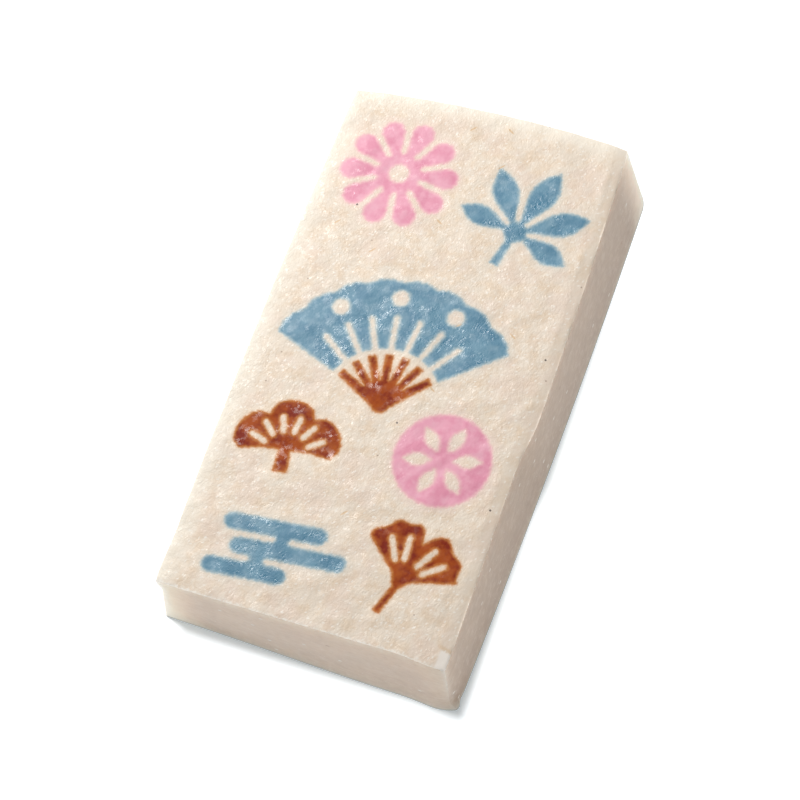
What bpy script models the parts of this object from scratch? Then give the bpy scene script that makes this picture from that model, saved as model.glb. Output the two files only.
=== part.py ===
"""A block of steamed fish cake, with figures of coloured fish paste pressed flush into its top.

Metres, +Z up. The origin is the middle of the base, and the long side runs along Y.
"""

import math

import bmesh
import bpy
from mathutils import Matrix, Vector, noise

MM = 0.001

# The block's top, and how far each of its sides bows outwards in the middle.
TOP_WIDTH = 60.4 * MM
TOP_LENGTH = 117.1 * MM
THICKNESS = 20.2 * MM
SIDE_BOW = 0.95 * MM
FAR_END_BOW = 1.7 * MM
FAR_END_SKEW = 0.2 * MM
NEAR_END_BOW = 0.1 * MM

# Towards the near end the right side's top edge is trimmed straight.
TRIM_BOW = -0.2 * MM
TRIM_START = -5.0 * MM
TRIM_RUN = 12.0 * MM

# Both near corners reach out a little: the left one sideways, the right one forwards.
LEFT_REACH = 0.4 * MM
RIGHT_REACH = 0.8 * MM
REACH_RUN = 12.0 * MM

# The walls lean outwards on the way down, some more at one end than at the other.
LEFT_LEAN = 3.4 * MM
FAR_LEAN = 2.8 * MM
RIGHT_LEAN_NEAR = 0.4 * MM
RIGHT_LEAN_FAR = 3.2 * MM
RIGHT_LEAN_CURVE = 1.2
NEAR_LEAN_LEFT = 1.0 * MM
NEAR_LEAN_RIGHT = 2.5 * MM
NEAR_LEAN_RUN = 1.75

# The upright corners are cut almost square at the top. At the foot all but one are rounded.
CORNER_RADIUS = 5.0 * MM
CORNER_CELLS = 4
TOP_ROUNDNESS = 0.1
FAR_ROUNDNESS = 0.9
NEAR_RIGHT_ROUNDNESS = 0.8
NEAR_LEFT_ROUNDNESS = 0.05
EDGE_RADIUS = 0.35 * MM
ON_EDGE = 0.9999

# The spread top hangs over the left wall, and the near right corner bulges at its foot.
BRIM = 1.2 * MM
BRIM_HEIGHT = 5.0 * MM
TOE = 1.2 * MM
TOE_HEIGHT = 3.5 * MM
TOE_RUN = 3.5 * MM

# The knife's shoulder along the right edge of the top, and the lumps of the spread paste.
SHOULDER_WIDTH = 2.3 * MM
SHOULDER_DROP = 0.3 * MM
LUMP_HEIGHT = 0.16 * MM
LUMP_SIZE = 6.5 * MM
GRID_PITCH = 3.0 * MM

# The coloured figures, and the pockets that they lie in.
FIGURE_THICKNESS = 0.8 * MM
FIGURE_GAP = 0.3 * MM
SLIT = 1.3 * MM
PRISM_OVER = 1.0 * MM
WELD = 0.01 * MM
SHARPEST_GROWTH = 1.8

# Each paste's colour and roughness.
PASTES = {
    "cream": ((0.83, 0.74, 0.62), 0.45),
    "blue": ((0.11, 0.30, 0.47), 0.35),
    "pink": ((0.83, 0.31, 0.46), 0.35),
    "brown": ((0.49, 0.13, 0.035), 0.3),
}


def clear_scene():
    for obj in list(bpy.data.objects):
        bpy.data.objects.remove(obj)


def new_collection(name):
    made = bpy.data.collections.new(name)
    bpy.context.scene.collection.children.link(made)
    return made


def paste_material(name, colour, roughness):
    made = bpy.data.materials.new(name + "_paste")
    made.use_nodes = True
    shader = made.node_tree.nodes["Principled BSDF"]
    shader.inputs["Base Color"].default_value = (*colour, 1.0)
    shader.inputs["Roughness"].default_value = roughness
    shader.inputs["Metallic"].default_value = 0.0
    return made


def sign(value):
    return math.copysign(1.0, value)


def mix(first, second, share):
    return first + (second - first) * share


def smooth_step(value):
    value = min(max(value, 0.0), 1.0)
    return value * value * (3.0 - 2.0 * value)


# The block's form: each function takes a place on a plain box and gives what it adds there.
# "across" and "along" run from -1 to 1 over the top's width and length.


def rounded_corner(x, y, roundness):
    """Carries a corner's square part of the way to a quarter disc."""
    flat_x = TOP_WIDTH / 2 - CORNER_RADIUS
    flat_y = TOP_LENGTH / 2 - CORNER_RADIUS
    a = (abs(x) - flat_x) / CORNER_RADIUS
    b = (abs(y) - flat_y) / CORNER_RADIUS
    if a <= 0 or b <= 0:
        return x, y
    cut_x = CORNER_RADIUS * a * (1 - math.sqrt(1 - b * b / 2)) * roundness
    cut_y = CORNER_RADIUS * b * (1 - math.sqrt(1 - a * a / 2)) * roundness
    return x - sign(x) * cut_x, y - sign(y) * cut_y


def foot_roundness(across, along):
    if along > 0:
        return FAR_ROUNDNESS
    return NEAR_RIGHT_ROUNDNESS if across > 0 else NEAR_LEFT_ROUNDNESS


def side_bow(across, along, share_down):
    bow = SIDE_BOW * (1 - along * along)
    if across > 0:
        past_trim = smooth_step((TRIM_START - along * TOP_LENGTH / 2) / TRIM_RUN)
        bow = mix(bow, TRIM_BOW, past_trim * (1 - share_down))
    return across * bow


def end_bow(across, along):
    if along > 0:
        return along * (FAR_END_BOW * (1 - across * across) + FAR_END_SKEW * across)
    reach = RIGHT_REACH * smooth_step(1 - (1 - across) * TOP_WIDTH / 2 / REACH_RUN)
    return along * (NEAR_END_BOW * (1 - across * across) + reach)


def left_reach(x, y):
    away = (x + TOP_WIDTH / 2) + (y + TOP_LENGTH / 2)
    return -LEFT_REACH * smooth_step(1 - away / REACH_RUN)


def side_lean(across, along):
    if across < 0:
        return across * LEFT_LEAN
    far_share = max((along + 1) / 2, 0.0) ** RIGHT_LEAN_CURVE
    return across * mix(RIGHT_LEAN_NEAR, RIGHT_LEAN_FAR, far_share)


def end_lean(across, along):
    if along > 0:
        return along * FAR_LEAN
    right_share = smooth_step((across + 1) / NEAR_LEAN_RUN)
    return along * mix(NEAR_LEAN_LEFT, NEAR_LEAN_RIGHT, right_share)


def brim(across, below_top):
    """Sets the left wall back under the top's edge."""
    return max(-across, 0.0) * BRIM * smooth_step(below_top / BRIM_HEIGHT)


def toe(x, y, height):
    away = (TOP_WIDTH / 2 - x) + (y + TOP_LENGTH / 2)
    near = smooth_step(1 - away / TOE_RUN)
    return TOE * near * smooth_step(1 - height / TOE_HEIGHT)


def lumps(x, y):
    place = Vector((x, y, 0.0)) / LUMP_SIZE
    return LUMP_HEIGHT * (noise.noise(place) + noise.noise(place * 2) / 2)


def shoulder(x):
    into = (x - (TOP_WIDTH / 2 - SHOULDER_WIDTH)) / SHOULDER_WIDTH
    return -SHOULDER_DROP * max(into, 0.0)


def shaped(point):
    """Where a point of the plain box lies on the block."""
    x, y, height = point
    across = 2 * x / TOP_WIDTH
    along = 2 * y / TOP_LENGTH
    below_top = max(THICKNESS - height, 0.0)
    share_down = below_top / THICKNESS
    reach = left_reach(x, y) + toe(x, y, height)
    rise = 0.0
    if below_top < EDGE_RADIUS / 2:
        rise = lumps(x, y) + shoulder(x)
        bite = EDGE_RADIUS * (1 - math.sqrt(0.5))
        if abs(across) > ON_EDGE:
            x -= bite * sign(x)
        if abs(along) > ON_EDGE:
            y -= bite * sign(y)
        if max(abs(across), abs(along)) > ON_EDGE:
            rise -= bite
    x, y = rounded_corner(x, y, mix(TOP_ROUNDNESS, foot_roundness(across, along), share_down))
    x += side_bow(across, along, share_down) + side_lean(across, along) * share_down
    x += brim(across, below_top) + reach
    y += end_bow(across, along) + end_lean(across, along) * share_down
    return Vector((x, y, height + rise))


def stations(half):
    """Where the box is sliced: close together in the corners, and GRID_PITCH apart between them."""
    flat = half - CORNER_RADIUS
    cells = round(2 * flat / GRID_PITCH)
    middle = [mix(-flat, flat, i / cells) for i in range(cells + 1)]
    corner = [mix(flat, half, i / CORNER_CELLS) for i in range(1, CORNER_CELLS)]
    corner.append(half - EDGE_RADIUS)
    return middle + corner + [-place for place in corner]


def slice_box(mesh, axis, places):
    normal = Vector((0, 0, 0))
    normal[axis] = 1
    for place in places:
        bmesh.ops.bisect_plane(
            mesh,
            geom=mesh.verts[:] + mesh.edges[:] + mesh.faces[:],
            plane_co=normal * place,
            plane_no=normal,
        )


def centre_on_base(mesh):
    """Moves the mesh so that its bounding box stands centred on the origin, and returns the move."""
    low = Vector(min(v.co[i] for v in mesh.verts) for i in range(3))
    high = Vector(max(v.co[i] for v in mesh.verts) for i in range(3))
    move = -Vector(((low.x + high.x) / 2, (low.y + high.y) / 2, low.z))
    bmesh.ops.translate(mesh, verts=mesh.verts[:], vec=move)
    return move


def block_mesh():
    """The whole block with no pockets, and the move that centred it."""
    mesh = bmesh.new()
    bmesh.ops.create_cube(mesh, size=1.0)
    bmesh.ops.translate(mesh, verts=mesh.verts[:], vec=(0, 0, 0.5))
    bmesh.ops.scale(mesh, verts=mesh.verts[:], vec=(TOP_WIDTH, TOP_LENGTH, THICKNESS))
    shoulder_edge = TOP_WIDTH / 2 - SHOULDER_WIDTH
    foot = [EDGE_RADIUS, TOE_HEIGHT / 2, TOE_HEIGHT, THICKNESS / 2]
    rim = [THICKNESS - BRIM_HEIGHT * i / 3 for i in (1, 2, 3)]
    slice_box(mesh, 0, stations(TOP_WIDTH / 2) + [shoulder_edge])
    slice_box(mesh, 1, stations(TOP_LENGTH / 2))
    slice_box(mesh, 2, foot + rim + [THICKNESS - EDGE_RADIUS])
    for vert in mesh.verts:
        vert.co = shaped(vert.co)
    base = [f for f in mesh.faces if max(v.co.z for v in f.verts) < EDGE_RADIUS / 2]
    bmesh.ops.dissolve_faces(mesh, faces=base)
    move = centre_on_base(mesh)
    data = bpy.data.meshes.new("block")
    mesh.to_mesh(data)
    mesh.free()
    return data, move


# The figures' outlines. Each is drawn anticlockwise round the figure's own centre, with its holes.


def polar(radius, degrees, centre=(0.0, 0.0)):
    turn = math.radians(degrees)
    x = centre[0] + radius * math.cos(turn)
    y = centre[1] + radius * math.sin(turn)
    return Vector((x, y))


def arc(centre, radius, start, end, count):
    """Points along an arc, both ends included, from one angle in degrees to another."""
    turns = [mix(start, end, i / (count - 1)) for i in range(count)]
    return [polar(radius, turn, centre) for turn in turns]


def ring(centre, radius, count):
    return arc(centre, radius, 0, 360 * (count - 1) / count, count)


def slit_hole(start, end, direction):
    """A straight slit with round ends, from one distance to another along a direction."""
    far_end = arc(polar(end, direction), SLIT / 2, direction - 90, direction + 90, 4)
    near_end = arc(
        polar(start, direction), SLIT / 2, direction + 90, direction + 270, 4
    )
    return far_end + near_end


def fan_leaf():
    """The folded paper of an open fan: a slit up each fold, and three round windows."""
    outer, inner, slit_end, scallop = 28.5 * MM, 12.5 * MM, 19.5 * MM, 0.9 * MM
    window_place, window_radius = 24.0 * MM, 1.9 * MM
    spread, pleats, cells = 120.0, 8, 3
    pleat = spread / pleats
    start = 90 - spread / 2
    outline = []
    for i in range(pleats * cells + 1):
        dip = scallop * (1 - abs(math.sin(math.pi * i / cells)))
        outline.append(polar(outer - dip, start + pleat * i / cells))
    lean = math.degrees(SLIT / 2 / inner)
    outline.append(polar(inner, start + spread))
    for i in reversed(range(1, pleats)):
        fold = start + pleat * i
        outline.append(polar(inner, fold + lean))
        outline += arc(polar(slit_end, fold), SLIT / 2, fold + 90, fold - 90, 4)
        outline.append(polar(inner, fold - lean))
    outline.append(polar(inner, start))
    windows = [90 + pleat * steps for steps in (-2, 0, 2)]
    holes = [ring(polar(window_place, turn), window_radius, 12) for turn in windows]
    return outline, holes


def fan_ribs():
    """The fan's sticks, joined at their pivot."""
    reach, valley, hub, width = 11.2 * MM, 5.4 * MM, 1.9 * MM, 1.7 * MM
    sticks, spread, hub_end = 7, 112.0, 20
    step = spread / (sticks - 1)
    lean = math.degrees(width / 2 / reach)
    outline = arc((0, 0), hub, 180 + hub_end, 360 - hub_end, 6)
    for i in range(sticks):
        turn = 90 - spread / 2 + step * i
        outline += [polar(reach, turn - lean), polar(reach, turn + lean)]
        if i < sticks - 1:
            outline.append(polar(valley, turn + step / 2))
    return outline, []


def chrysanthemum():
    """Round petals parted by slits, round a bare centre."""
    petals, tip_place, slit, core, eye = 10, 10.3 * MM, 1.2 * MM, 5.2 * MM, 2.2 * MM
    half_step = 180 / petals
    tip_radius = tip_place * math.sin(math.radians(half_step)) - slit / 2
    outline = []
    for i in range(petals):
        turn = 2 * half_step * i
        gap = turn + half_step
        outline += arc(polar(tip_place, turn), tip_radius, turn - 90, turn + 90, 6)
        outline += arc(polar(core, gap), slit / 2, gap - 90, gap - 270, 3)
    return outline, [ring((0, 0), eye, 12)]


def lance_leaf(direction, start, length, half_width):
    """One narrow leaf: up one edge to its tip, and back down the other."""
    stem, cells, belly = 0.55 * MM, 7, 1.3
    along, side = polar(1.0, direction), polar(1.0, direction + 90)
    right, left = [], []
    for i in range(cells):
        share = i / cells
        half = stem * (1 - share) + half_width * math.sin(math.pi * share**belly)
        place = along * mix(start, length, share)
        right.append(place - side * half)
        left.append(place + side * half)
    return right + [along * length] + left[::-1]


def bamboo_spray():
    """Five bamboo leaves on a short twig."""
    start, between, longest, widest = 2.4 * MM, 47, 16.5 * MM, 2.7 * MM
    outline = []
    for place in (-2, -1, 0, 1, 2):
        size = 1 - 0.05 * place * place
        outline += lance_leaf(
            80 + between * place, start, longest * size, widest * size
        )
    twig, twig_end, armpit = -96, 8.5 * MM, 55
    half_top, half_end = polar(0.75 * MM, twig + 90), polar(1.0 * MM, twig + 90)
    outline += [
        polar(start, twig - armpit),
        polar(start, twig) - half_top,
        polar(twig_end, twig) - half_end,
        polar(twig_end, twig) + half_end,
        polar(start, twig) + half_top,
        polar(start, twig + armpit),
    ]
    return outline, []


def pine_bough():
    """A three-lobed cloud of pine on a short trunk, with a slit for each cluster of needles."""
    foot, lobe, lobes, cells = 9.4 * MM, 2.5 * MM, 3, 21
    arch, trunk_top, trunk_foot, trunk_end = 0.8 * MM, 1.3 * MM, 1.6 * MM, -4.0 * MM
    slit_start, slit_end, slits, slits_end = 5.0 * MM, 8.2 * MM, 6, 26
    outline = []
    for i in range(cells + 1):
        share = i / cells
        swell = lobe * math.sqrt(abs(math.sin(math.pi * lobes * share)))
        outline.append(polar(foot + swell, 180 * share))
    left = [
        Vector((-foot / 2, arch)),
        Vector((-trunk_top, arch)),
        Vector((-trunk_foot, trunk_end)),
    ]
    right = [Vector((-point.x, point.y)) for point in reversed(left)]
    turns = [mix(slits_end, 180 - slits_end, i / (slits - 1)) for i in range(slits)]
    return outline + left + right, [slit_hole(slit_start, slit_end, t) for t in turns]


def hand_ball():
    """A round ball with six pointed petals left bare."""
    radius, near, far, bulge = 10.0 * MM, 2.1 * MM, 8.0 * MM, 1.4 * MM
    petals, turn, cells = 6, 12, 5
    holes = []
    for i in range(petals):
        direction = 360 * i / petals + turn
        along, side = polar(1.0, direction), polar(1.0, direction + 90)
        shares = [k / cells for k in range(cells + 1)]
        middle = [along * mix(near, far, share) for share in shares]
        half = [side * bulge * math.sin(math.pi * share) for share in shares]
        right = [m - h for m, h in zip(middle, half)]
        left = [m + h for m, h in zip(middle, half)]
        holes.append(right + left[-2:0:-1])
    return ring((0, 0), radius, 36), holes


def ginkgo_leaf():
    """A notched fan-shaped leaf on a stalk, with four veins left bare."""
    reach, half_spread, cells = 12.6 * MM, 62, 22
    notch, notch_share, wave, waves, droop = 3.6 * MM, 0.09, 0.45 * MM, 5, 1.2 * MM
    vein_start, vein_end = 4.8 * MM, 9.4 * MM
    outline = []
    for i in range(cells + 1):
        share = mix(-1, 1, i / cells)
        cleft = notch * math.exp(-((share / notch_share) ** 2))
        ripple = wave * math.sin(waves * math.pi * share)
        radius = reach + ripple - droop * share**4 - cleft
        outline.append(polar(radius, 90 + half_spread * share))
    wing, wing_foot = Vector((2.2 * MM, 1.1 * MM)), Vector((0.7 * MM, -1.4 * MM))
    stalk_end, stalk_half = Vector((-0.5 * MM, -7.3 * MM)), Vector((0.8 * MM, 0.0))
    outline += [
        Vector((-wing.x, wing.y)),
        Vector((-wing_foot.x, wing_foot.y)),
        stalk_end - stalk_half,
        stalk_end + stalk_half,
        wing_foot,
        wing,
    ]
    return outline, [slit_hole(vein_start, vein_end, t) for t in (50, 72, 108, 130)]


def mist_bars():
    """Three rounded bars of mist, one above another, each joined to the next by a short neck."""
    half, gap = 1.75 * MM, SLIT / 2
    pitch = 2 * (half + gap)
    left_ends = (-13.0 * MM, -8.5 * MM, -11.0 * MM)
    right_ends = (1.0 * MM, 12.0 * MM, 7.0 * MM)
    neck_starts = (-6.0 * MM, -2.0 * MM)
    neck_width = 4.0 * MM
    outline = []
    for i, x in enumerate(right_ends):
        level = (i - 1) * pitch
        outline += arc((x, level), half, -90, 90, 6)
        if i < len(neck_starts):
            notch = (neck_starts[i] + neck_width, level + pitch / 2)
            outline += arc(notch, gap, -90, -270, 4)
    for i in reversed(range(len(left_ends))):
        level = (i - 1) * pitch
        outline += arc((left_ends[i], level), half, 90, 270, 6)
        if i > 0:
            notch = (neck_starts[i - 1], level - pitch / 2)
            outline += arc(notch, gap, 90, -90, 4)
    return outline, []


# Each figure's outline and paste, where its centre lies on the top in millimetres, and its turn.
FIGURES = {
    "chrysanthemum": (chrysanthemum, "pink", (-14.5, 41.0), 7.0),
    "bamboo_spray": (bamboo_spray, "blue", (13.5, 34.0), -8.0),
    "fan_leaf": (fan_leaf, "blue", (-0.5, -10.5), 9.0),
    "fan_ribs": (fan_ribs, "brown", (-0.5, -10.5), 9.0),
    "pine_bough": (pine_bough, "brown", (-15.5, -26.0), 8.0),
    "hand_ball": (hand_ball, "pink", (15.5, -18.5), 0.0),
    "mist_bars": (mist_bars, "blue", (-9.0, -46.0), 5.0),
    "ginkgo_leaf": (ginkgo_leaf, "brown", (15.5, -45.0), -14.0),
}


def grown(outline, by):
    """The outline moved outwards, with the growth at a sharp corner held back."""
    made = []
    for i, here in enumerate(outline):
        before = (here - outline[i - 1]).normalized()
        after = (outline[(i + 1) % len(outline)] - here).normalized()
        first = Vector((before.y, -before.x))
        second = Vector((after.y, -after.x))
        corner = (first + second) / max(1 + first.dot(second), 0.05)
        if corner.length > SHARPEST_GROWTH:
            corner *= SHARPEST_GROWTH / corner.length
        made.append(here + corner * by)
    return made


def prism(name, loops, low, high):
    """A closed mesh object between two heights: the first loop is its outline, the others its holes."""
    curve = bpy.data.curves.new(name, "CURVE")
    curve.dimensions = "2D"
    curve.fill_mode = "BOTH"
    curve.extrude = (high - low) / 2
    for points in loops:
        spline = curve.splines.new("POLY")
        spline.points.add(len(points) - 1)
        for point, place in zip(spline.points, points):
            point.co = (place.x, place.y, 0.0, 1.0)
        spline.use_cyclic_u = True
    drawn = bpy.data.objects.new(name + "_outline", curve)
    bpy.context.scene.collection.objects.link(drawn)
    graph = bpy.context.evaluated_depsgraph_get()
    data = bpy.data.meshes.new_from_object(drawn.evaluated_get(graph))
    bpy.data.objects.remove(drawn)
    mesh = bmesh.new()
    mesh.from_mesh(data)
    bmesh.ops.remove_doubles(mesh, verts=mesh.verts[:], dist=WELD)
    bmesh.ops.translate(mesh, verts=mesh.verts[:], vec=(0, 0, (high + low) / 2))
    mesh.to_mesh(data)
    mesh.free()
    return bpy.data.objects.new(name, data)


def as_cutter(obj, collection):
    obj.hide_render = True
    obj.display_type = "WIRE"
    collection.objects.link(obj)
    return obj


def build():
    clear_scene()
    parts = new_collection("fish_cake")
    cutters = new_collection("cutters")
    pockets = new_collection("pockets")
    cutters.hide_render = True
    pockets.hide_render = True
    pastes = {name: paste_material(name, *looks) for name, looks in PASTES.items()}

    block, move = block_mesh()
    uncut = as_cutter(bpy.data.objects.new("uncut_block", block), cutters)
    slab = bpy.data.objects.new("slab", block.copy())
    slab.data.materials.append(pastes["cream"])
    parts.objects.link(slab)

    floor = THICKNESS - FIGURE_THICKNESS
    ceiling = THICKNESS + PRISM_OVER
    for name, (shape, paste, place, turn) in FIGURES.items():
        outline, holes = shape()
        loops = [outline, *holes]
        pocket_loops = [grown(outline, FIGURE_GAP)]
        pocket_loops += [grown(hole, -FIGURE_GAP) for hole in holes]
        figure = prism(name, loops, floor, ceiling)
        pocket = prism(name + "_pocket", pocket_loops, floor - FIGURE_GAP, ceiling)
        spot = Vector((place[0] * MM, place[1] * MM, 0.0)) + move
        stand = Matrix.Translation(spot) @ Matrix.Rotation(math.radians(turn), 4, "Z")
        figure.data.transform(stand)
        pocket.data.transform(stand)
        figure.data.materials.append(pastes[paste])
        parts.objects.link(figure)
        as_cutter(pocket, pockets)
        shave = figure.modifiers.new("Shave", "BOOLEAN")
        shave.operation = "INTERSECT"
        shave.solver = "EXACT"
        shave.object = uncut

    carve = slab.modifiers.new("Carve", "BOOLEAN")
    carve.operation = "DIFFERENCE"
    carve.solver = "EXACT"
    carve.operand_type = "COLLECTION"
    carve.collection = pockets


build()
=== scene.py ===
"""A decorated block of steamed fish cake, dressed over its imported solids."""

import math

import bmesh
import bpy
import numpy as np
from mathutils import Matrix, Vector, noise


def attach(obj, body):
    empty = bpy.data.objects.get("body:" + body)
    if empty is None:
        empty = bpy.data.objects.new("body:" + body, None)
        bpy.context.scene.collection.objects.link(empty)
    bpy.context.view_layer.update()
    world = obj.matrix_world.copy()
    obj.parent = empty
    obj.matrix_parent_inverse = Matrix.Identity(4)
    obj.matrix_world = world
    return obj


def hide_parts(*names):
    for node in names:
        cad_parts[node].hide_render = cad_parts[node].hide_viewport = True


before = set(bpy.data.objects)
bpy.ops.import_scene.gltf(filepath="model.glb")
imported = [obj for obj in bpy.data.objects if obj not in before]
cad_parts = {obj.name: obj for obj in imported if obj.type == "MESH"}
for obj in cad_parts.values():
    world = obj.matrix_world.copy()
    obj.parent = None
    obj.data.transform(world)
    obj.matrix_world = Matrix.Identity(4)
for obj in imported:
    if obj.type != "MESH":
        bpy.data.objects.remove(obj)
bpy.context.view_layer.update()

MM = 0.001

# The block's form, as its solid has it.
TOP_WIDTH = 60.4 * MM
TOP_LENGTH = 117.1 * MM
THICKNESS = 20.2 * MM
SIDE_BOW = 0.95 * MM
FAR_END_BOW = 1.7 * MM
FAR_END_SKEW = 0.2 * MM
NEAR_END_BOW = 0.1 * MM
TRIM_BOW = -0.2 * MM
TRIM_START = -5.0 * MM
TRIM_RUN = 12.0 * MM
LEFT_REACH = 0.4 * MM
RIGHT_REACH = 0.8 * MM
REACH_RUN = 12.0 * MM
LEFT_LEAN = 3.4 * MM
FAR_LEAN = 2.8 * MM
RIGHT_LEAN_NEAR = 0.4 * MM
RIGHT_LEAN_FAR = 3.2 * MM
RIGHT_LEAN_CURVE = 1.2
NEAR_LEAN_LEFT = 1.0 * MM
NEAR_LEAN_RIGHT = 2.5 * MM
NEAR_LEAN_RUN = 1.75
CORNER_RADIUS = 5.0 * MM
TOP_ROUNDNESS = 0.1
FAR_ROUNDNESS = 0.9
NEAR_RIGHT_ROUNDNESS = 0.8
NEAR_LEFT_ROUNDNESS = 0.05
BRIM = 1.2 * MM
BRIM_HEIGHT = 5.0 * MM
TOE = 1.2 * MM
TOE_HEIGHT = 3.5 * MM
TOE_RUN = 3.5 * MM
SHOULDER_WIDTH = 2.3 * MM
SHOULDER_DROP = 0.3 * MM
LUMP_HEIGHT = 0.16 * MM
LUMP_SIZE = 6.5 * MM

# The top's finer relief, which only the dressed block has: small lumps, and the grain of the paste.
FINE_HEIGHT = 0.032 * MM
FINE_SIZE = 1.5 * MM
GRAIN_HEIGHT = 0.024 * MM
GRAIN_SIZE = 0.8 * MM
EDGE_BITE = 0.04 * MM

# The mesh of the dressed block: the top's cells, and rows down the wall that grow towards the foot.
CELL = 0.42 * MM
WALL_ROWS = 26
FIRST_ROW = 0.35 * MM
ROW_GROWTH = 1.25
SMOOTH_UNDER = math.radians(50)

# How the figures are cut out of it.
POCKET_DEPTH = 0.5 * MM
PRISM_HEIGHT = 2 * MM
CORNER_EASE = 0.28 * MM
SAME_POINT = 0.001 * MM
STRAIGHT_WITHIN = math.radians(2)
WELD = 0.003 * MM

# How far from a figure its paste can be seen in the cream.
PASTE_REACH = 3 * MM

FIGURES = {
    "chrysanthemum": "pink",
    "bamboo_spray": "blue",
    "fan_leaf": "blue",
    "fan_ribs": "brown",
    "pine_bough": "brown",
    "hand_ball": "pink",
    "mist_bars": "blue",
    "ginkgo_leaf": "brown",
}


def colour(red, green, blue):
    """A colour as the eye names it, from 0 to 255, in the renderer's own light values."""
    made = []
    for value in (red, green, blue):
        share = value / 255
        made.append(share / 12.92 if share <= 0.04045 else ((share + 0.055) / 1.055) ** 2.4)
    return (*made, 1.0)


# Each coloured paste: its deep and thin places, its soft edge, and its tint of the cream beside it.
SHADES = {
    "blue": {
        "deep": colour(74, 130, 160),
        "middle": colour(96, 146, 172),
        "pale": colour(132, 168, 188),
        "edge": colour(170, 192, 198),
        "haze": colour(226, 220, 208),
    },
    "pink": {
        "deep": colour(230, 145, 173),
        "middle": colour(239, 166, 189),
        "pale": colour(243, 184, 202),
        "edge": colour(243, 194, 196),
        "haze": colour(243, 219, 207),
    },
    "brown": {
        "deep": colour(132, 36, 14),
        "middle": colour(172, 78, 20),
        "pale": colour(184, 96, 36),
        "edge": colour(212, 142, 76),
        "haze": colour(241, 222, 198),
    },
}

# How moist each coloured paste is: the depth of its grain in millimetres, how much of it stays dry, how
# smooth its wet places are, its shine, and the film of water on it.
MOISTURE = {
    "blue": {"relief": 0.18, "wet_from": 0.48, "wet_roughness": 0.18, "gloss": 0.45, "coat": 0.0},
    "pink": {"relief": 0.06, "wet_from": 0.53, "wet_roughness": 0.27, "gloss": 0.4, "coat": 0.0},
    "brown": {"relief": 0.08, "wet_from": 0.5, "wet_roughness": 0.3, "gloss": 0.1, "coat": 0.8},
}
DRY_ROUGHNESS = 0.5

# The cream of the spread top.
CREAM = {
    "plain": colour(238, 224, 207),
    "yellow": colour(233, 212, 188),
    "rosy": colour(233, 212, 197),
    "strand": colour(248, 240, 227),
    "lit_rim": colour(255, 248, 234),
    "strip": colour(244, 230, 214),
    "near_rim_highlight": colour(255, 250, 241),
    "bare_patch": colour(255, 248, 240),
    "fold": colour(218, 178, 122),
    "fleck_and_glint": colour(255, 249, 240),
    "fibre": colour(216, 172, 112),
    "dark_speck": colour(62, 44, 34),
    "grey_speck": colour(150, 120, 100),
}

# The cream of the cut walls.
CUT = {
    "corner": colour(222, 198, 176),
    "ridge_highlight": colour(246, 228, 212),
    "window_lit": colour(238, 220, 203),
    "lit_corner": colour(255, 235, 212),
    "dark_patch": colour(160, 132, 120),
    "dark_streak": colour(150, 122, 104),
    "pale_patch": colour(246, 232, 218),
    "pale_streak": colour(248, 236, 224),
    "dash": colour(255, 250, 243),
    "dot": colour(255, 250, 242),
    "mark": colour(176, 128, 88),
    "stain": colour(214, 184, 138),
    "foot_shadow": colour(92, 84, 76),
    "no_glow": colour(0, 0, 0),
    "glow": colour(255, 240, 222),
}

# The walls at the sides and at the ends: the axis they run along, their tones, the rim on the window's side,
# the rim at the corner that the window's light comes through, and how much of it does. All of this is
# painted
# light and shade: the side walls' darker tone and the darker tone at the foot are painted shade, the rim on
# the window's side and the lit corner are painted paler, and how much light comes through is the strength of
# a painted glow.
WALLS = {
    "cut_side": {
        "axis": "Y",
        "tone": colour(208, 180, 155),
        "foot_shade": colour(158, 130, 112),
        "window_side": "from_left",
        "lit_corner": "from_far",
        "glow": 0.14,
    },
    "cut_end": {
        "axis": "X",
        "tone": colour(236, 213, 191),
        "foot_shade": colour(188, 160, 140),
        "window_side": "from_far",
        "lit_corner": "from_left",
        "glow": 0.05,
    },
}

# How light spreads inside the cut walls: nearly as far in red, green and blue.
SPREAD = (1.0, 0.96, 0.92)
SPREAD_SCALE = 8.5 * MM


# Working by hand: what is selected, and which mode is on.


def nothing_selected():
    if bpy.context.mode != "OBJECT":
        bpy.ops.object.mode_set(mode="OBJECT")
    bpy.ops.object.select_all(action="DESELECT")


def take(obj):
    nothing_selected()
    obj.select_set(True)
    bpy.context.view_layer.objects.active = obj


def into_edit(obj, mode="VERT"):
    take(obj)
    bpy.ops.object.mode_set(mode="EDIT")
    bpy.ops.mesh.select_mode(type=mode)


def select_all():
    bpy.ops.mesh.select_all(action="SELECT")


def own_copy(obj, name):
    made = obj.copy()
    made.data = obj.data.copy()
    made.name = made.data.name = name
    made.parent = None
    bpy.context.scene.collection.objects.link(made)
    return made


def apply_boolean(obj, operation, other):
    take(obj)
    modifier = obj.modifiers.new(operation, "BOOLEAN")
    modifier.operation = operation
    modifier.solver = "MANIFOLD"
    modifier.object = other
    bpy.ops.object.modifier_apply(modifier=modifier.name)


def weld(obj):
    """Joins points that a cut left closer than can be seen, and takes out those midway along an edge."""
    into_edit(obj)
    select_all()
    bpy.ops.mesh.remove_doubles(threshold=WELD)
    mesh = bmesh.from_edit_mesh(obj.data)
    for point in mesh.verts:
        point.select = len(point.link_edges) == 2
    mesh.select_flush_mode()
    bmesh.update_edit_mesh(obj.data)
    bpy.ops.mesh.dissolve_verts()
    bpy.ops.object.mode_set(mode="OBJECT")


def points_of(obj):
    """A mesh's points, one to a row."""
    places = np.empty(len(obj.data.vertices) * 3)
    obj.data.vertices.foreach_get("co", places)
    return places.reshape(-1, 3)


def move_points(obj, places):
    obj.data.vertices.foreach_set("co", places.ravel())
    obj.data.update()


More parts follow.
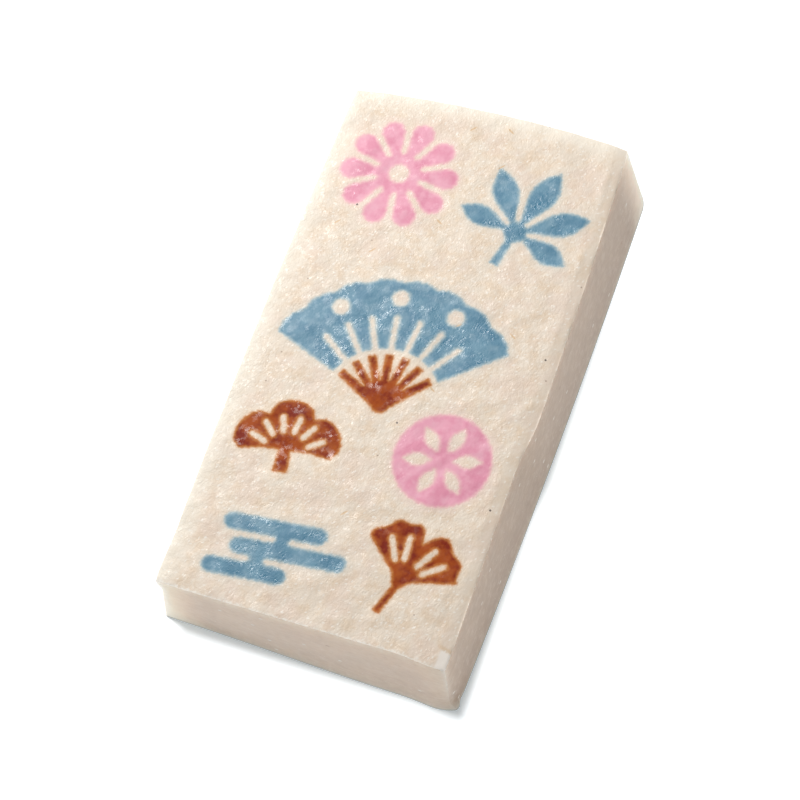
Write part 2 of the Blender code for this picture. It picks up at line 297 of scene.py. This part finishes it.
def keep_numbers(obj, name, values):
    layer = obj.data.attributes.new(name, "FLOAT", "POINT")
    layer.data.foreach_set("value", np.asarray(values, dtype=np.float32))


# The block's form.


def mix(first, second, share):
    return first + (second - first) * share


def smooth_step(value):
    value = np.clip(value, 0.0, 1.0)
    return value * value * (3.0 - 2.0 * value)


def noise_at(x, y, size, seed=0.0):
    """Smooth noise over the top, with lumps of about the size given."""
    places = np.stack([x / size + seed, y / size - seed, np.full_like(x, 2 * seed)], axis=-1)
    return np.array([noise.noise(place) for place in places])


def block_place(x, y, down):
    """Where a place on a plain box, at a distance below its top, lies on the block."""
    across = 2 * x / TOP_WIDTH
    along = 2 * y / TOP_LENGTH
    share_down = down / THICKNESS
    a = np.clip((np.abs(x) - TOP_WIDTH / 2) / CORNER_RADIUS + 1, 0, 1)
    b = np.clip((np.abs(y) - TOP_LENGTH / 2) / CORNER_RADIUS + 1, 0, 1)
    near_roundness = np.where(across > 0, NEAR_RIGHT_ROUNDNESS, NEAR_LEFT_ROUNDNESS)
    foot_roundness = np.where(along > 0, FAR_ROUNDNESS, near_roundness)
    roundness = mix(TOP_ROUNDNESS, foot_roundness, share_down)
    cut_x = CORNER_RADIUS * a * (1 - np.sqrt(1 - b * b / 2)) * roundness
    cut_y = CORNER_RADIUS * b * (1 - np.sqrt(1 - a * a / 2)) * roundness

    trimmed = smooth_step((TRIM_START - y) / TRIM_RUN) * (across > 0) * (1 - share_down)
    bow = mix(SIDE_BOW * (1 - along**2), TRIM_BOW, trimmed)
    far_bow = FAR_END_BOW * (1 - across**2) + FAR_END_SKEW * across
    reach_near = RIGHT_REACH * smooth_step((x - TOP_WIDTH / 2) / REACH_RUN + 1)
    end_bow = np.where(along > 0, far_bow, NEAR_END_BOW * (1 - across**2) + reach_near)

    far_share = np.clip((along + 1) / 2, 0, 1) ** RIGHT_LEAN_CURVE
    right_lean = mix(RIGHT_LEAN_NEAR, RIGHT_LEAN_FAR, far_share)
    near_lean = mix(NEAR_LEAN_LEFT, NEAR_LEAN_RIGHT, smooth_step((across + 1) / NEAR_LEAN_RUN))
    side_lean = np.where(across > 0, right_lean, LEFT_LEAN)
    end_lean = np.where(along > 0, FAR_LEAN, near_lean)

    from_near_left = x + TOP_WIDTH / 2 + y + TOP_LENGTH / 2
    from_near_right = TOP_WIDTH / 2 - x + y + TOP_LENGTH / 2
    reach_left = LEFT_REACH * smooth_step(1 - from_near_left / REACH_RUN)
    low = smooth_step(1 - (THICKNESS - down) / TOE_HEIGHT)
    toe = TOE * smooth_step(1 - from_near_right / TOE_RUN) * low
    set_back = np.maximum(-across, 0) * BRIM * smooth_step(down / BRIM_HEIGHT)

    made_x = x - np.sign(x) * cut_x + across * (bow + side_lean * share_down)
    made_y = y - np.sign(y) * cut_y + along * (end_bow + end_lean * share_down)
    return made_x + set_back + toe - reach_left, made_y


def top_relief(x, y):
    """The lumps of the spread paste, coarse to fine, and the knife's shoulder along the right edge."""
    into = (x - (TOP_WIDTH / 2 - SHOULDER_WIDTH)) / SHOULDER_WIDTH
    smooth_strip = smooth_step(into * 4)
    rise = LUMP_HEIGHT * noise_at(x, y, LUMP_SIZE) * (1 - 0.5 * smooth_strip)
    rise += LUMP_HEIGHT / 2 * noise_at(x, y, LUMP_SIZE / 2) * (1 - 0.7 * smooth_strip)
    fine = FINE_HEIGHT * noise_at(x, y, FINE_SIZE, seed=3.7)
    grain = GRAIN_HEIGHT * noise_at(x, y, GRAIN_SIZE, seed=9.1)
    rise += (fine + grain) * (1 - 0.4 * smooth_strip)
    return rise - SHOULDER_DROP * np.maximum(into, 0)


def shape_block(obj):
    """Carries the plain box to the block's form, and returns the move that set it on its origin."""
    places = points_of(obj)
    x, y, height = places.T
    down = np.clip(THICKNESS - height, 0, THICKNESS)
    on_top = down < 1e-6
    made_x, made_y = block_place(x, y, down)
    made = np.stack([made_x, made_y, height], axis=-1)
    made[on_top, 2] += top_relief(x[on_top], y[on_top])
    at_side = np.abs(x) > 0.4999 * TOP_WIDTH
    at_end = np.abs(y) > 0.4999 * TOP_LENGTH
    rim = on_top & (at_side | at_end)
    made[rim, 0] -= EDGE_BITE * np.sign(x[rim]) * at_side[rim]
    made[rim, 1] -= EDGE_BITE * np.sign(y[rim]) * at_end[rim]
    made[rim, 2] -= EDGE_BITE
    low, high = made.min(axis=0), made.max(axis=0)
    move = -np.array([(low[0] + high[0]) / 2, (low[1] + high[1]) / 2, low[2]])
    move_points(obj, made + move)
    return move


def plain_block():
    """A fine grid as the top, its edge drawn down into walls row by row, and a floor across the foot."""
    nothing_selected()
    across, along = round(TOP_WIDTH / CELL), round(TOP_LENGTH / CELL)
    bpy.ops.mesh.primitive_grid_add(
        x_subdivisions=across, y_subdivisions=along, size=1, location=(0, 0, 0)
    )
    block = bpy.context.object
    block.name = "cake"
    block.scale = (TOP_WIDTH, TOP_LENGTH, 1)
    block.location.z = THICKNESS
    bpy.ops.object.transform_apply(location=True, rotation=True, scale=True)
    into_edit(block, "EDGE")
    bpy.ops.mesh.select_all(action="DESELECT")
    bpy.ops.mesh.select_non_manifold()
    shares = (np.arange(1, WALL_ROWS + 1) / WALL_ROWS) ** ROW_GROWTH
    shares = (shares - shares[0]) / (1 - shares[0])
    depths = FIRST_ROW + (THICKNESS - FIRST_ROW) * shares
    for step in np.diff(depths, prepend=0.0):
        bpy.ops.mesh.extrude_edges_indiv()
        bpy.ops.transform.translate(value=(0, 0, -step))
    bpy.ops.mesh.edge_face_add()
    select_all()
    bpy.ops.mesh.normals_make_consistent(inside=False)
    bpy.ops.object.mode_set(mode="OBJECT")
    return block


def figure_cutter(name):
    """An upright prism of a figure's outline, taken through its solid and drawn up past the top."""
    cutter = own_copy(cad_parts[name], name + "_cutter")
    floor = (0, 0, THICKNESS - POCKET_DEPTH)
    into_edit(cutter)
    select_all()
    bpy.ops.mesh.remove_doubles(threshold=SAME_POINT)
    bpy.ops.mesh.bisect(plane_co=floor, plane_no=(0, 0, 1), clear_inner=True, clear_outer=True)
    select_all()
    bpy.ops.mesh.dissolve_limited(angle_limit=STRAIGHT_WITHIN)
    select_all()
    bpy.ops.mesh.bevel(offset=CORNER_EASE, segments=3, affect="VERTICES", clamp_overlap=True)
    select_all()
    bpy.ops.mesh.fill()
    select_all()
    bpy.ops.mesh.extrude_region()
    bpy.ops.transform.translate(value=(0, 0, PRISM_HEIGHT))
    select_all()
    bpy.ops.mesh.normals_make_consistent(inside=False)
    bpy.ops.object.mode_set(mode="OBJECT")
    return cutter


def outline_segments(cutter):
    """The prism's upright faces from above, as an array of segments."""
    mesh = bmesh.new()
    mesh.from_mesh(cutter.data)
    half_way = THICKNESS - POCKET_DEPTH + PRISM_HEIGHT / 2
    rows = [
        [*edge.verts[0].co.xy, *edge.verts[1].co.xy]
        for edge in mesh.edges
        if max(point.co.z for point in edge.verts) < half_way
        and any(abs(face.normal.z) < 0.5 for face in edge.link_faces)
    ]
    mesh.free()
    return np.array(rows)


def distance_to(segments, x, y):
    """How far each place is from the nearest segment."""
    best = np.full(len(x), np.inf)
    for x1, y1, x2, y2 in segments:
        dx, dy = x2 - x1, y2 - y1
        share = ((x - x1) * dx + (y - y1) * dy) / max(dx * dx + dy * dy, 1e-18)
        share = np.clip(share, 0, 1)
        best = np.minimum(best, np.hypot(x - x1 - share * dx, y - y1 - share * dy))
    return best


# The pastes' looks.


class Mark:
    """A shader socket that is reckoned with like a number."""

    def __init__(self, recipe, socket):
        self.recipe = recipe
        self.socket = socket

    def maths(self, operation, *values):
        return self.recipe.node("Math", {"operation": operation}, values)

    def __add__(self, other):
        return self.maths("ADD", self, other)

    __radd__ = __add__

    def __sub__(self, other):
        return self.maths("SUBTRACT", self, other)

    def __rsub__(self, other):
        return self.maths("SUBTRACT", other, self)

    def __mul__(self, other):
        return self.maths("MULTIPLY", self, other)

    __rmul__ = __mul__

    def lesser(self, other):
        return self.maths("MINIMUM", self, other)

    def is_under(self, limit):
        return self.maths("LESS_THAN", self, limit)

    def above(self, low, high):
        """Nothing under low, all above high, and a smooth way between."""
        settings = {"interpolation_type": "SMOOTHSTEP"}
        return self.recipe.node("MapRange", settings, (self, low, high, 0.0, 1.0))

    def below(self, low, high):
        return 1 - self.above(low, high)


class Recipe:
    """One paste's material."""

    def __init__(self, name):
        self.material = bpy.data.materials.new(name)
        self.material.use_nodes = True
        self.tree = self.material.node_tree
        self.shader = self.tree.nodes["Principled BSDF"]
        place = self.node("TexCoord", {}, (), out="Object")
        self.place = self.node(
            "VectorMath", {"operation": "SCALE"}, {"Vector": place, "Scale": 1 / MM}
        )

    def node(self, kind, settings, values, out=0):
        made = self.tree.nodes.new("ShaderNode" + kind)
        for name, value in settings.items():
            setattr(made, name, value)
        items = values.items() if isinstance(values, dict) else enumerate(values)
        for key, value in items:
            socket = made.inputs[key]
            if isinstance(value, Mark):
                self.tree.links.new(value.socket, socket)
            else:
                socket.default_value = value
        return Mark(self, made.outputs[out])

    def height(self):
        """How far a place is above the floor, in millimetres."""
        return self.node("SeparateXYZ", {}, (self.place,), out="Z")

    def attribute(self, name):
        return self.node("Attribute", {"attribute_name": name}, (), out="Fac")

    def stretched(self, stretch=(1, 1, 1), turn=0.0, shift=0.0):
        settings = {"vector_type": "TEXTURE"}
        values = {
            "Vector": self.place,
            "Location": (shift, shift / 2, -shift),
            "Rotation": (0, 0, math.radians(turn)),
            "Scale": stretch,
        }
        return self.node("Mapping", settings, values)

    def cloud(self, size, detail=2.0, rough=0.5, shift=0.0, stretch=(1, 1, 1), turn=0.0, warp=0.0):
        """Soft noise with lumps of about the size given, in millimetres."""
        values = {
            "Vector": self.stretched(stretch, turn, shift),
            "Scale": 1 / size,
            "Detail": detail,
            "Roughness": rough,
            "Distortion": warp,
        }
        return self.node("TexNoise", {}, values, out="Fac")

    def spots(self, size, radius, share, axes="XY", stretch=1.0, turn=0.0, shift=0.0):
        """Scattered flat spots on the plane of two axes: a cell of the size given may hold one."""
        along, up = (self.node("SeparateXYZ", {}, (self.place,), out=axis) for axis in axes)
        values = {
            "Vector": self.node("CombineXYZ", {}, (along, up, 0.0)),
            "Location": (shift, shift / 2, 0),
            "Rotation": (0, 0, math.radians(turn)),
            "Scale": (stretch, 1, 1),
        }
        turned = self.node("Mapping", {"vector_type": "TEXTURE"}, values)
        where = {"Vector": turned, "Scale": 1 / size}
        flat = {"voronoi_dimensions": "2D"}
        near = self.node("TexVoronoi", flat, where, out="Distance")
        which = self.node("TexVoronoi", flat, where, out="Color")
        picked = self.node("SeparateColor", {}, (which,))
        inside = near.below(radius / size * 0.5, radius / size)
        return inside * picked.is_under(share)

    def blend(self, share, first, second):
        """The first colour, with the share given of the second laid over it."""
        settings = {"data_type": "RGBA", "clamp_factor": True}
        values = {0: share, 6: first, 7: second}
        return self.node("Mix", settings, values, out=2)

    def bump(self, height, depth):
        """A relief of the depth given, in millimetres."""
        values = {"Strength": 1.0, "Distance": depth * MM, "Height": height}
        return self.node("Bump", {}, values)

    def finish(self, **values):
        """Sets the shader's own sockets, and gives back the finished material."""
        for name, value in values.items():
            socket = self.shader.inputs[name.replace("_", " ")]
            if isinstance(value, Mark):
                self.tree.links.new(value.socket, socket)
            else:
                socket.default_value = value
        return self.material


def soft_inside(recipe):
    shader = recipe.shader
    shader.inputs["Subsurface Weight"].default_value = 1.0
    shader.inputs["Subsurface Radius"].default_value = SPREAD
    shader.inputs["Subsurface Scale"].default_value = SPREAD_SCALE


def cream_coat(recipe):
    """The spread paste's own colour: yellowish and rosy patches, and whiter strands."""
    yellow = recipe.cloud(2.6, 3.0, 0.65)
    rosy = recipe.cloud(6.0, 2.0, 0.5, shift=20.0)
    pale = recipe.cloud(1.5, 2.0, 0.6, shift=14.0, stretch=(1.8, 1, 1), turn=50.0, warp=0.6)
    base = recipe.blend(yellow.above(0.37, 0.68), CREAM["plain"], CREAM["yellow"])
    base = recipe.blend(rosy.above(0.45, 0.65) * 0.5, base, CREAM["rosy"])
    return recipe.blend(pale.above(0.52, 0.72) * 0.4, base, CREAM["strand"])


def grain_height(recipe):
    """The fine, moist fibres of the spread paste, as a height about nought."""
    grain = recipe.cloud(0.55, 3.0, 0.65, shift=5.0, stretch=(1, 1.5, 1), turn=35.0, warp=0.4)
    strands = recipe.cloud(0.42, 2.0, 0.6, shift=14.0, stretch=(2.4, 1, 1), turn=62.0, warp=0.8)
    return grain * 0.6 + strands * 0.4 - 0.5


def laid_over(recipe, base, depth, shades, body):
    """A coloured paste over the cream; depth is the distance inside its outline, in millimetres."""
    edge = depth + (recipe.cloud(0.9, 3.0, 0.6, shift=31.0) - 0.5) * 0.9
    base = recipe.blend(edge.above(-2.0, -0.2) * 0.45, base, shades["haze"])
    base = recipe.blend(edge.above(-0.55, 0.25), base, shades["edge"])
    return recipe.blend(edge.above(-0.2, 0.75), base, body)


def spread_cream():
    """The block's top, whiter at its lit rims, with the figures' colours run into it."""
    recipe = Recipe("spread_cream")
    base = cream_coat(recipe)
    # Painted light: the rims that face the window are painted whiter, for the light that shines through
    # them.
    from_left, from_far = recipe.attribute("from_left"), recipe.attribute("from_far")
    base = recipe.blend(from_left.lesser(from_far).below(-1.5, 5.5), base, CREAM["lit_rim"])
    from_near, from_right = recipe.attribute("from_near"), recipe.attribute("from_right")
    # Painted light: the knife's strip along the right rim is painted a little paler, against the shade of
    # its slope.
    strip = from_right.below(SHOULDER_WIDTH / MM - 0.6, SHOULDER_WIDTH / MM + 0.5)
    base = recipe.blend(strip * 0.3, base, CREAM["strip"])
    # Painted highlight: a ragged whitish band along the near rim, where its edge catches the light.
    ragged = recipe.cloud(0.8, 3.0, 0.7, shift=61.0)
    near_rim_sheen = from_near + ragged * 2.6
    base = recipe.blend(near_rim_sheen.below(1.1, 2.1) * 0.85, base, CREAM["near_rim_highlight"])
    along = from_near + ragged * 0.8 - from_right * 0.25
    bare_patch = from_right.below(1.7, 2.5) * along.below(3.4, 4.1)
    base = recipe.blend(bare_patch * 0.9, base, CREAM["bare_patch"])
    fold = along.above(3.6, 4.1) * along.below(4.2, 4.8) * from_right.below(1.8, 3.4)
    base = recipe.blend(fold * 0.35, base, CREAM["fold"])
    # Pale flecks: partly the paste's own white fibres, partly painted glints.
    for turn, shift in ((70.0, 23.0), (20.0, 53.0)):
        flecks_and_glints = recipe.spots(1.3, 0.2, 0.4, stretch=2.0, turn=turn, shift=shift)
        base = recipe.blend(flecks_and_glints * 0.6, base, CREAM["fleck_and_glint"])
    for name, shades in SHADES.items():
        depth = 0 - recipe.attribute("near_" + name)
        base = laid_over(recipe, base, depth, shades, shades["middle"])
    for turn, shift in ((-32.0, 11.0), (48.0, 37.0)):
        fibres = recipe.spots(8.0, 0.26, 0.3, stretch=4.5, turn=turn, shift=shift)
        base = recipe.blend(fibres * 0.6, base, CREAM["fibre"])
    base = recipe.blend(recipe.spots(12.0, 0.3, 0.16, shift=3.0) * 0.9, base, CREAM["dark_speck"])
    base = recipe.blend(recipe.spots(9.0, 0.24, 0.2, shift=29.0) * 0.6, base, CREAM["grey_speck"])

    grain = grain_height(recipe) * (1 - strip * 0.35) * (1 - bare_patch * 0.8)
    wet = recipe.cloud(1.1, 3.0, 0.6, shift=44.0).above(0.52, 0.66)
    roughness = DRY_ROUGHNESS - wet * 0.18
    return recipe.finish(Base_Color=base, Roughness=roughness, Normal=recipe.bump(grain, 0.145))


def cut_cream(name, axis, tone, foot_shade, window_side, lit_corner, glow):
    """A wall of the block, cut smooth: faint streaks and pale dashes along it, paler with painted light
    towards the window, darker with painted shade at the foot.
    """
    recipe = Recipe(name)
    height = recipe.height()
    from_corner = recipe.attribute("from_corner")
    from_lit_corner = recipe.attribute(lit_corner)
    # Painted shade: the side walls' tone is darker than the ends', both meet in one colour at an upright
    # corner, and both grow darker towards the foot.
    base = recipe.blend(from_corner.above(-2.0, 4.0), CUT["corner"], tone)
    base = recipe.blend(height.below(0.0, 14.0) * 0.45, base, foot_shade)
    # Painted light: paler towards the corner the window lights through, paler where a wall faces the window,
    # and near-white at that lit corner.
    base = recipe.blend(from_lit_corner.below(20.0, 110.0) * 0.12, base, CUT["window_lit"])
    facing_window = recipe.attribute(window_side).below(4.0, 12.0)
    base = recipe.blend(facing_window * 0.8, base, CUT["window_lit"])
    lit = from_lit_corner.below(-1.5, 10.0) * (1 - facing_window)
    base = recipe.blend(lit, base, CUT["lit_corner"])

    patches = recipe.cloud(6.0, 2.0, 0.5, shift=8.0)
    base = recipe.blend(patches.above(0.35, 0.65) * 0.08, base, CUT["dark_patch"])
    mottle = recipe.cloud(1.6, 3.0, 0.6, shift=21.0)
    base = recipe.blend(mottle.above(0.5, 0.7) * 0.07, base, CUT["dark_streak"])
    base = recipe.blend(mottle.below(0.32, 0.5) * 0.16, base, CUT["pale_patch"])
    stretch = tuple(4.0 if letter == axis else 1.0 for letter in "XYZ")
    streaks = recipe.cloud(0.6, 3.0, 0.65, shift=11.0, stretch=stretch)
    base = recipe.blend(streaks.above(0.5, 0.68) * 0.07, base, CUT["dark_streak"])
    base = recipe.blend(streaks.below(0.34, 0.5) * 0.12, base, CUT["pale_streak"])
    # Painted highlight along the ridge of each upright corner.
    base = recipe.blend(from_corner.below(0.0, 1.8) * 0.2, base, CUT["ridge_highlight"])

    plane = axis + "Z"
    dashes = recipe.spots(4.2, 0.28, 0.38, plane, stretch=2.0, turn=4.0, shift=6.0)
    base = recipe.blend(dashes * 0.75, base, CUT["dash"])
    dots = recipe.spots(2.6, 0.18, 0.22, plane, shift=16.0)
    base = recipe.blend(dots * 0.35, base, CUT["dot"])
    marks = recipe.spots(11.0, 0.34, 0.22, plane, stretch=1.8, shift=2.0)
    base = recipe.blend(marks * 0.45, base, CUT["mark"])
    foot = height + (recipe.cloud(3.0, 2.0, 0.5, shift=51.0) - 0.5) * 0.8
    base = recipe.blend(foot.below(0.3, 1.4) * 0.3, base, CUT["stain"])
    # Painted shadow: a dark line along the foot, where the block meets the floor.
    base = recipe.blend(height.below(0.05, 0.8) * 0.85, base, CUT["foot_shadow"])

    soft_inside(recipe)
    # Painted light: the lit corner glows a little, as emission.
    light = recipe.blend(lit, CUT["no_glow"], CUT["glow"])
    return recipe.finish(
        Base_Color=base,
        Roughness=0.44 + streaks * 0.12,
        Emission_Color=light,
        Emission_Strength=glow,
        Normal=recipe.bump(streaks, 0.04),
    )


def coloured_paste(name, relief, wet_from, wet_roughness, gloss, coat):
    """A figure's paste: mottled, wet in some patches, and soft where it meets the block."""
    recipe = Recipe(name + "_paste")
    shades = SHADES[name]
    patches = recipe.cloud(4.5, 3.0, 0.6, shift=7.0)
    milky = recipe.cloud(3.0, 2.0, 0.5, shift=27.0)
    fine = recipe.cloud(0.9, 3.0, 0.65, shift=17.0, warp=0.8)
    body = recipe.blend(patches.above(0.4, 0.62), shades["middle"], shades["deep"])
    body = recipe.blend(milky.above(0.48, 0.72) * 0.6, body, shades["pale"])
    body = recipe.blend(fine.above(0.52, 0.75) * 0.25, body, shades["pale"])
    base = laid_over(recipe, cream_coat(recipe), recipe.attribute("inside"), shades, body)
    rough_patch = recipe.cloud(9.0, 2.0, 0.5, shift=71.0).above(0.42, 0.6)
    grain = grain_height(recipe) * (0.35 + rough_patch * 0.65)
    moist = recipe.cloud(1.6, 3.0, 0.6, shift=44.0).above(wet_from, wet_from + 0.1)
    wet = moist * (0.3 + rough_patch * 0.7)
    return recipe.finish(
        Base_Color=base,
        Roughness=DRY_ROUGHNESS - wet * (DRY_ROUGHNESS - wet_roughness),
        Specular_IOR_Level=gloss,
        Coat_Weight=wet * coat,
        Coat_Roughness=0.16,
        Normal=recipe.bump(grain, relief),
    )


# The pieces.


def smooth_all(obj):
    take(obj)
    bpy.ops.object.shade_smooth_by_angle(angle=SMOOTH_UNDER)


def shade_as(obj, uncut, group=""):
    """Gives a cut surface the shading of the whole one, so that the cut itself leaves no mark."""
    take(obj)
    modifier = obj.modifiers.new("shading", "DATA_TRANSFER")
    modifier.object = uncut
    modifier.use_loop_data = True
    modifier.data_types_loops = {"CUSTOM_NORMAL"}
    modifier.loop_mapping = "POLYINTERP_NEAREST"
    modifier.vertex_group = group
    bpy.ops.object.modifier_apply(modifier=modifier.name)


def set_figure(block, name, cutter, outline, paste):
    """A figure, cut out of a copy of the block so that the two share one surface."""
    piece = own_copy(block, name + "_paste")
    apply_boolean(piece, "INTERSECT", cutter)
    weld(piece)
    x, y = points_of(piece).T[:2]
    keep_numbers(piece, "inside", distance_to(outline, x, y) / MM)
    piece.data.materials.clear()
    piece.data.materials.append(paste)
    smooth_all(piece)
    shade_as(piece, block)
    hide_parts(name)
    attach(piece, "root")


def rim_line(side, move):
    """The top's edge on one side, as the block's own form has it."""
    half_x, half_y = TOP_WIDTH / 2, TOP_LENGTH / 2
    steps = np.linspace(-1, 1, 200)
    ones = np.ones_like(steps)
    plain = {
        "left": (-half_x * ones, half_y * steps),
        "right": (half_x * ones, half_y * steps),
        "near": (half_x * steps, -half_y * ones),
        "far": (half_x * steps, half_y * ones),
    }
    x, y = block_place(*plain[side], 0 * ones)
    return x + move[0], y + move[1]


def keep_rim_distances(block, move):
    """How far each place is from each side's rim, and the least of the four, in millimetres."""
    x, y = points_of(block).T[:2]
    away = []
    for side in ("left", "right", "near", "far"):
        rim_x, rim_y = rim_line(side, move)
        if side in ("left", "right"):
            away.append(np.abs(x - np.interp(y, rim_y, rim_x)) / MM)
        else:
            away.append(np.abs(y - np.interp(x, rim_x, rim_y)) / MM)
        keep_numbers(block, "from_" + side, away[-1])
    return np.minimum.reduce(away)


def keep_paste_distances(block, outlines):
    """How far each place is from each colour's nearest figure, in millimetres, up to the pastes' reach."""
    x, y = points_of(block).T[:2]
    nearest = np.full(len(x), PASTE_REACH)
    for paste in SHADES:
        near = np.full(len(x), PASTE_REACH)
        for name in (name for name in FIGURES if FIGURES[name] == paste):
            ends_x, ends_y = outlines[name][:, [0, 2]], outlines[name][:, [1, 3]]
            close = (x > ends_x.min() - PASTE_REACH) & (x < ends_x.max() + PASTE_REACH)
            close &= (y > ends_y.min() - PASTE_REACH) & (y < ends_y.max() + PASTE_REACH)
            found = distance_to(outlines[name], x[close], y[close])
            near[close] = np.minimum(near[close], found)
        keep_numbers(block, "near_" + paste, near / MM)
        nearest = np.minimum(nearest, near)
    by_figure = block.vertex_groups.new(name="by_figure")
    by_figure.add(np.flatnonzero(nearest < 2 * CELL).tolist(), 1.0, "REPLACE")


def keep_corner_distances(block):
    """How far each place on a wall of the plain box is from the nearest upright corner, in millimetres."""
    x, y = points_of(block).T[:2]
    from_end = TOP_LENGTH / 2 - np.abs(y)
    from_side = TOP_WIDTH / 2 - np.abs(x)
    keep_numbers(block, "from_corner", np.maximum(from_end, from_side) / MM)


def sort_faces(block, from_rim):
    """Gives each face the material of the top, of the walls at the sides, or of those at the ends."""
    top, at_side, at_end = range(3)
    walls_start = THICKNESS - 2 * POCKET_DEPTH
    slots = []
    for face in block.data.polygons:
        by_rim = max(from_rim[i] for i in face.vertices) < 0.3
        wall = face.normal.z < 0.6 and (by_rim or face.center.z < walls_start)
        facing = at_side if abs(face.normal.x) > abs(face.normal.y) else at_end
        slots.append(facing if wall else top)
    block.data.polygons.foreach_set("material_index", slots)


def build_cake():
    """Makes the block and its figures, and returns the move that set the block on its origin."""
    block = plain_block()
    keep_corner_distances(block)
    move = shape_block(block)
    smooth_all(block)
    uncut = own_copy(block, "uncut")
    pastes = {name: coloured_paste(name, **moisture) for name, moisture in MOISTURE.items()}
    cutters = {name: figure_cutter(name) for name in FIGURES}
    outlines = {name: outline_segments(cutter) for name, cutter in cutters.items()}
    for name, paste in FIGURES.items():
        set_figure(block, name, cutters[name], outlines[name], pastes[paste])
    for cutter in cutters.values():
        apply_boolean(block, "DIFFERENCE", cutter)
        bpy.data.objects.remove(cutter)
    weld(block)
    keep_paste_distances(block, outlines)
    from_rim = keep_rim_distances(block, move)
    block.data.materials.clear()
    block.data.materials.append(spread_cream())
    for name, wall in WALLS.items():
        block.data.materials.append(cut_cream(name, **wall))
    sort_faces(block, from_rim)
    smooth_all(block)
    shade_as(block, uncut, "by_figure")
    bpy.data.objects.remove(uncut)
    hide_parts("slab")
    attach(block, "root")
    return move


# The room.


def white_card():
    """The floor, which glows a little, as a white card under a studio's light does."""
    nothing_selected()
    bpy.ops.mesh.primitive_plane_add(size=3.0, location=(0, 0, 0))
    floor = bpy.context.object
    floor.name = "floor"
    paint = bpy.data.materials.new("white_card")
    paint.use_nodes = True
    shader = paint.node_tree.nodes["Principled BSDF"]
    shader.inputs["Base Color"].default_value = (0.88, 0.9, 0.92, 1)
    shader.inputs["Roughness"].default_value = 0.9
    shader.inputs["Emission Color"].default_value = (0.88, 0.97, 1.0, 1)
    shader.inputs["Emission Strength"].default_value = 0.38
    floor.data.materials.append(paint)
    return floor


def lamp(name, kind, place, strength, tint, lit):
    """A lamp that looks at the cake from a place, and lights only the things given."""
    made = bpy.data.lights.new(name, kind)
    made.energy = strength
    made.color = tint
    obj = bpy.data.objects.new(name, made)
    bpy.context.scene.collection.objects.link(obj)
    obj.location = place
    obj.rotation_euler = (-Vector(place)).to_track_quat("-Z", "Y").to_euler()
    receivers = bpy.data.collections.new(name + "_lights")
    for thing in lit:
        receivers.objects.link(thing)
    obj.light_linking.receiver_collection = receivers
    return made


def soft_room(floor):
    """A window behind and to the left for the cake, and an even light overhead for the card under it."""
    world = bpy.data.worlds.new("room")
    bpy.context.scene.world = world
    world.use_nodes = True
    sky = world.node_tree.nodes["Background"]
    sky.inputs["Color"].default_value = (1.0, 0.985, 0.97, 1)
    sky.inputs["Strength"].default_value = 0.16
    cake = [thing for thing in bpy.data.objects if thing.type == "MESH" and thing is not floor]
    window = lamp(
        "window", "AREA", place=(-0.36, 0.29, 0.55), strength=5.2, tint=(1.0, 0.985, 0.96), lit=cake
    )
    window.shape = "SQUARE"
    window.size = 0.3
    overhead = lamp(
        "overhead", "SUN", place=(-0.11, 0.15, 1.0), strength=2.3, tint=(1.0, 1.0, 1.0), lit=[floor]
    )
    overhead.angle = 0.11


def photo_camera(move):
    """The camera as fitted to the block's corners, set over the middle of its plain top."""
    camera = bpy.data.cameras.new("photo_view")
    camera.sensor_width = 36.0
    camera.lens = 97.9
    obj = bpy.data.objects.new("photo_view", camera)
    bpy.context.scene.collection.objects.link(obj)
    right = Vector((0.93559, 0.32865, -0.12910))
    up = Vector((-0.24971, 0.87433, 0.41617))
    back = Vector((0.24965, -0.35713, 0.90007))
    turn = Matrix((right, up, back)).transposed().to_4x4()
    eye = Vector((0.111708, -0.163778, 0.391572))
    top_centre = Vector((move[0], move[1], THICKNESS))
    obj.matrix_world = Matrix.Translation(eye + top_centre) @ turn
    bpy.context.scene.camera = obj
    bpy.context.scene.view_settings.view_transform = "Standard"


photo_camera(build_cake())
soft_room(white_card())
